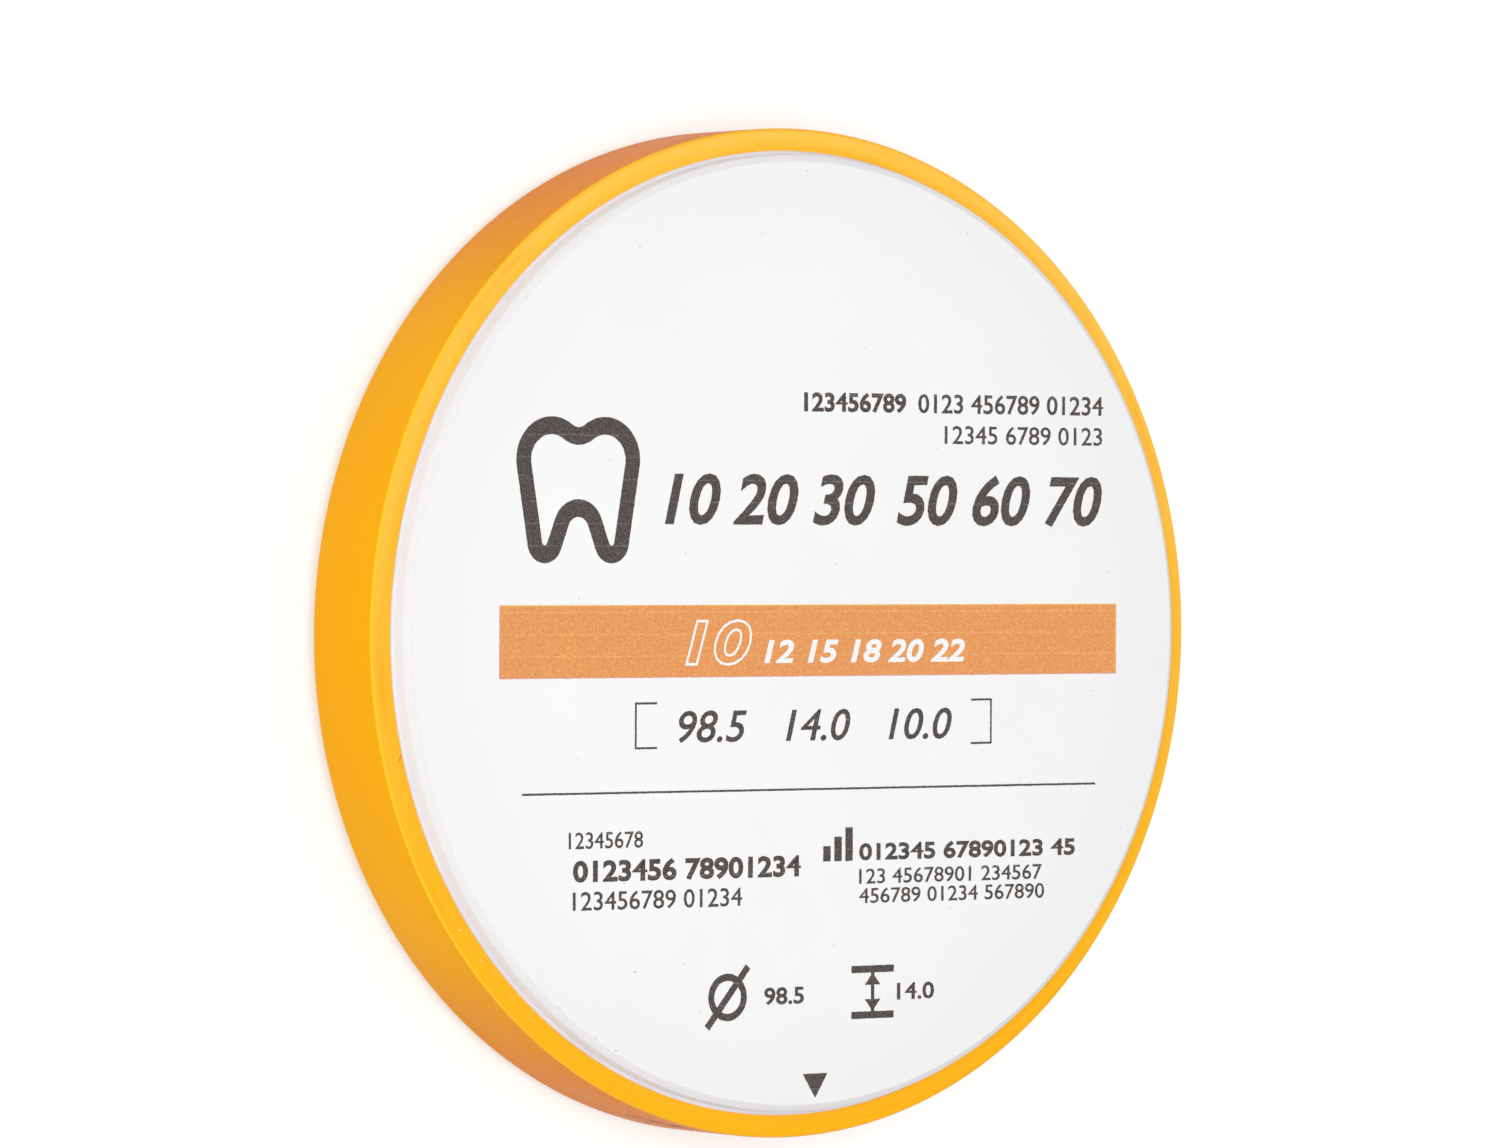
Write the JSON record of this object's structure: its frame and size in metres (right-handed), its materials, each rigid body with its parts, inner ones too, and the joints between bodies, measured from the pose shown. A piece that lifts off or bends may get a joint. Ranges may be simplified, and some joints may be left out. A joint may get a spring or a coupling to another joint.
{
  "type": "dental milling disc",
  "caption": "Round flat milling blank of pressed white zirconia, bonded into a yellow plastic collar ring that a mill's holder grips, with a printed front face.",
  "frame": {"origin": "centre of the back face of the blank, the face that the disc lies on", "axes": "+Z is the disc's axis, out of the printed front face; +X is to the right along the lines of print; +Y is towards the top of the print"},
  "size_m": [0.0984, 0.0984, 0.014],
  "materials": {
    "zirconia": "matte",
    "collar_plastic": "satin",
    "adhesive": "satin",
    "stripe_ink": "matte",
    "dark_ink": "matte"
  },
  "bodies": {
    "root": {"zirconia_blank": "zirconia", "collar_ring": "collar_plastic", "bond_line": "adhesive", "print_stripe": "stripe_ink", "print_brackets": "dark_ink", "print_rule": "dark_ink", "print_arrow": "dark_ink", "print_tooth": "dark_ink", "print_bars": "dark_ink", "print_diameter_sign": "dark_ink", "print_thickness_sign": "dark_ink"}
  },
  "joints": []
}
